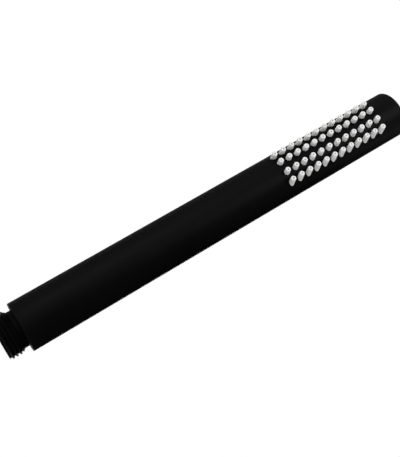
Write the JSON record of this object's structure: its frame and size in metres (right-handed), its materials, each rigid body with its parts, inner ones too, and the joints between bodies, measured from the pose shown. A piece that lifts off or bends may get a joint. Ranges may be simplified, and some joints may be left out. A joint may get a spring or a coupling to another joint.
{
  "type": "hand shower",
  "caption": "Straight stick hand shower: a slim matte black barrel with rows of soft white nozzles near its closed tip and a half-inch hose thread with a check valve at its foot.",
  "frame": {"origin": "on the barrel's axis, in the end face of the hose thread where the hose washer seals", "axes": "+Z along the barrel from the hose thread to the closed tip, -Y the way the nozzles spray, +X to the side"},
  "size_m": [0.024, 0.0269, 0.2263],
  "materials": {
    "black_coating": "fine matte black coating on brass",
    "nozzle_silicone": "soft matte silicone",
    "pale_plastic": "moulded, satin",
    "valve_plastic": "moulded, satin",
    "gasket_rubber": "matte rubber",
    "spring_steel": "drawn stainless wire"
  },
  "bodies": {
    "handset": {"barrel": "black_coating", "nozzle_strip": "nozzle_silicone", "strip_carrier": "pale_plastic", "inner_pipe": "pale_plastic", "lower_pipe_gasket": "gasket_rubber", "upper_pipe_gasket": "gasket_rubber", "connector": "black_coating", "strainer": "valve_plastic", "flow_restrictor": "pale_plastic", "valve_housing": "valve_plastic", "valve_spring": "spring_steel", "valve_guide": "valve_plastic", "valve_gasket": "gasket_rubber"},
    "poppet": {"valve_poppet": "valve_plastic", "valve_seal": "gasket_rubber"}
  },
  "joints": [
    {"name": "poppet_lift", "type": "slide", "parent": "handset", "child": "poppet", "axis": [0, 0, 1], "range_m": [0, 0.0025], "stiffness_N_per_m": 100, "springref_m": -0.001, "deforming": ["valve_spring"]}
  ]
}
